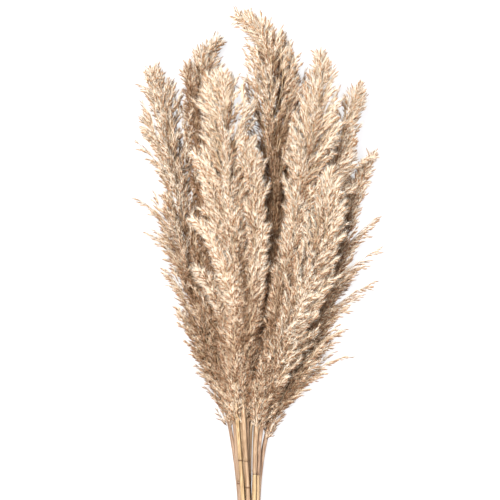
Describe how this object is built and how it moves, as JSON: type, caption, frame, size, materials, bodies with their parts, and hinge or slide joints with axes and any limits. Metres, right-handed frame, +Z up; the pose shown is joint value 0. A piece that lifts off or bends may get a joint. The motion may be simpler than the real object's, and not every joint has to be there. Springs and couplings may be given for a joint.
{
  "type": "bundle of pampas grass",
  "caption": "Bundle of dried pampas grass lying on its side: feathery plumes fanned out on thin straw stems, tied with wound twine.",
  "frame": {"origin": "middle of the bundle's bounding box at its underside, on the surface it lies on", "axes": "+Y along the stems towards the plume tips, +Z up from the surface, +X across the bundle"},
  "size_m": [0.1928, 0.6004, 0.0794],
  "materials": {
    "stem": "smooth dry straw, satin",
    "plume_tan": "dry silky hairs, matte",
    "plume_pale": "dry silky hairs, matte",
    "plume_brown": "dry silky hairs, matte",
    "twine": "natural jute, matte"
  },
  "bodies": {
    "root": {"bundle_tie": "twine", "plume_01": "plume_tan", "plume_02": "plume_brown", "plume_03": "plume_tan", "plume_04": "plume_pale", "plume_05": "plume_pale", "plume_06": "plume_brown", "plume_07": "plume_tan", "plume_08": "plume_tan", "plume_09": "plume_tan", "plume_10": "plume_tan", "plume_11": "plume_pale", "plume_12": "plume_pale", "plume_13": "plume_pale", "plume_14": "plume_tan", "stem_01": "stem", "stem_02": "stem", "stem_03": "stem", "stem_04": "stem", "stem_05": "stem", "stem_06": "stem", "stem_07": "stem", "stem_08": "stem", "stem_09": "stem", "stem_10": "stem", "stem_11": "stem", "stem_12": "stem", "stem_13": "stem", "stem_14": "stem"}
  },
  "joints": []
}
